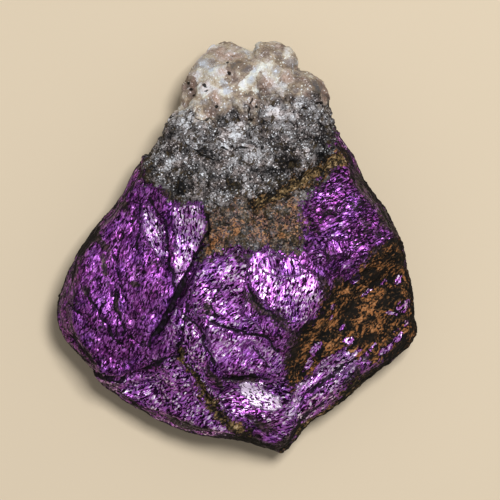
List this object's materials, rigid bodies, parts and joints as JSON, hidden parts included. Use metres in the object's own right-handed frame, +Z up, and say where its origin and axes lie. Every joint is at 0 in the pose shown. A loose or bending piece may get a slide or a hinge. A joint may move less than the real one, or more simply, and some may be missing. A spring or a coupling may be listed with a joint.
{
  "type": "purpurite specimen",
  "caption": "Rough purple purpurite stone with a knobbly grey quartz end, brown and black weathered faces and open cracks, lying on a flat spot.",
  "frame": {"origin": "on the ground under the middle of the stone's bounding box, with the stone lying on its flat spot", "axes": "+Z up, +Y along the stone's length towards the quartz end, +X to the right seen from above with the quartz end away"},
  "size_m": [0.0506, 0.058, 0.021],
  "materials": {
    "purpurite_rock": "rough, foil-like metallic sheen on the purple cleavage faces, glittering grey quartz at one end"
  },
  "bodies": {
    "root": {"purpurite": "purpurite_rock"}
  },
  "joints": []
}
